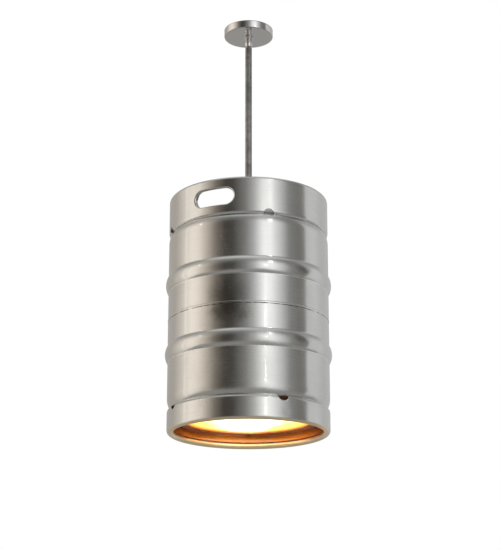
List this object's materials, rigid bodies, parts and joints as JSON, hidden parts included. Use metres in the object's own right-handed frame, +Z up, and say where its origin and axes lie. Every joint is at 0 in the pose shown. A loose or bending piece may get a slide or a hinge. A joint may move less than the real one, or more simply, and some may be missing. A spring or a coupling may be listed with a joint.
{
  "type": "keg pendant light",
  "caption": "Pendant lamp made from a stainless beer keg: ceiling canopy, ball swivel and down-rod above a ribbed keg whose open bottom holds a lit diffuser.",
  "frame": {"origin": "middle of the crossbar's slots, on the ceiling plane and the lamp's axis", "axes": "+Z up into the ceiling, the keg hangs towards -Z, the hand holes face -Y and +Y"},
  "size_m": [0.411, 0.411, 1.0765],
  "materials": {
    "keg_stainless": "worn satin stainless sheet",
    "polished_nickel": "polished nickel plate",
    "satin_rod": "dark satin steel tube",
    "zinc_steel": "zinc-plated steel",
    "green_screw": "green dyed zinc",
    "nylon": "natural nylon",
    "lead_jacket": "matt black jacket",
    "gasket_rubber": "matt black rubber",
    "cluster_steel": "white enamel",
    "copper_trim": "copper-toned enamel",
    "lit_diffuser": "frosted acrylic, lit from behind",
    "socket_ceramic": "glazed porcelain",
    "bulb_brass": "rolled brass",
    "bulb_glass": "frosted white glass"
  },
  "bodies": {
    "ceiling_mount": {"crossbar": "zinc_steel", "ground_screw": "green_screw", "threaded_nipple": "zinc_steel", "nipple_lock_nuts": "zinc_steel", "swivel_housing": "polished_nickel", "swivel_cap": "polished_nickel", "supply_lead": "lead_jacket"},
    "canopy": {"canopy": "polished_nickel"},
    "collar": {"canopy_collar": "polished_nickel"},
    "swivel_fork": {"seat_ring_lower": "nylon"},
    "swivel_seat": {"seat_ring_upper": "nylon"},
    "diffuser_tray": {"trim_ring": "copper_trim", "diffuser": "lit_diffuser", "trim_screws": "zinc_steel"},
    "bulb_1": {"bulb_base_1": "bulb_brass", "bulb_glass_1": "bulb_glass"},
    "bulb_2": {"bulb_base_2": "bulb_brass", "bulb_glass_2": "bulb_glass"},
    "bulb_3": {"bulb_base_3": "bulb_brass", "bulb_glass_3": "bulb_glass"},
    "keg": {"bottom_chime": "keg_stainless", "cluster_body": "cluster_steel", "cluster_cover": "cluster_steel", "cluster_lock_nuts": "zinc_steel", "down_rod": "satin_rod", "girth_weld": "keg_stainless", "inner_stem": "zinc_steel", "lamp_lead": "lead_jacket", "lamp_socket_1": "socket_ceramic", "lamp_socket_2": "socket_ceramic", "lamp_socket_3": "socket_ceramic", "lower_shell": "keg_stainless", "neck_boss": "keg_stainless", "neck_gasket": "gasket_rubber", "neck_plug": "keg_stainless", "ring_brackets": "keg_stainless", "rod_lock_nuts": "zinc_steel", "rod_washers": "zinc_steel", "stem_coupling": "zinc_steel", "swivel_ball": "polished_nickel", "top_chime": "keg_stainless", "upper_shell": "keg_stainless"}
  },
  "joints": [
    {"name": "collar_turn", "type": "hinge", "parent": "canopy", "child": "collar", "pos_m": [0, 0, -0.0195], "axis": [0, 0, -1], "range_deg": [0, 1260]},
    {"name": "canopy_lower", "type": "slide", "parent": "ceiling_mount", "child": "canopy", "axis": [0, 0, -1], "range_m": [0, 0.0035]},
    {"name": "swivel_tilt_x", "type": "hinge", "parent": "ceiling_mount", "child": "swivel_fork", "pos_m": [0, 0, -0.041], "axis": [1, 0, 0], "range_deg": [-12, 12]},
    {"name": "swivel_tilt_y", "type": "hinge", "parent": "swivel_fork", "child": "swivel_seat", "pos_m": [0, 0, -0.041], "axis": [0, 1, 0], "range_deg": [-12, 12]},
    {"name": "keg_spin", "type": "hinge", "parent": "swivel_seat", "child": "keg", "pos_m": [0, 0, -0.041], "axis": [0, 0, 1], "range_deg": [-175, 175]},
    {"name": "diffuser_lower", "type": "slide", "parent": "keg", "child": "diffuser_tray", "axis": [0, 0, -1], "range_m": [0, 0.09]},
    {"name": "bulb_1_out", "type": "slide", "parent": "keg", "child": "bulb_1", "axis": [0.7263, 0, -0.6874], "range_m": [0, 0.03]},
    {"name": "bulb_2_out", "type": "slide", "parent": "keg", "child": "bulb_2", "axis": [-0.3631, 0.629, -0.6874], "range_m": [0, 0.03]},
    {"name": "bulb_3_out", "type": "slide", "parent": "keg", "child": "bulb_3", "axis": [-0.3631, -0.629, -0.6874], "range_m": [0, 0.03]}
  ],
  "couplings": [
    {"joint": "collar_turn", "follows": "canopy_lower", "rad_per_m": 6283.2}
  ]
}
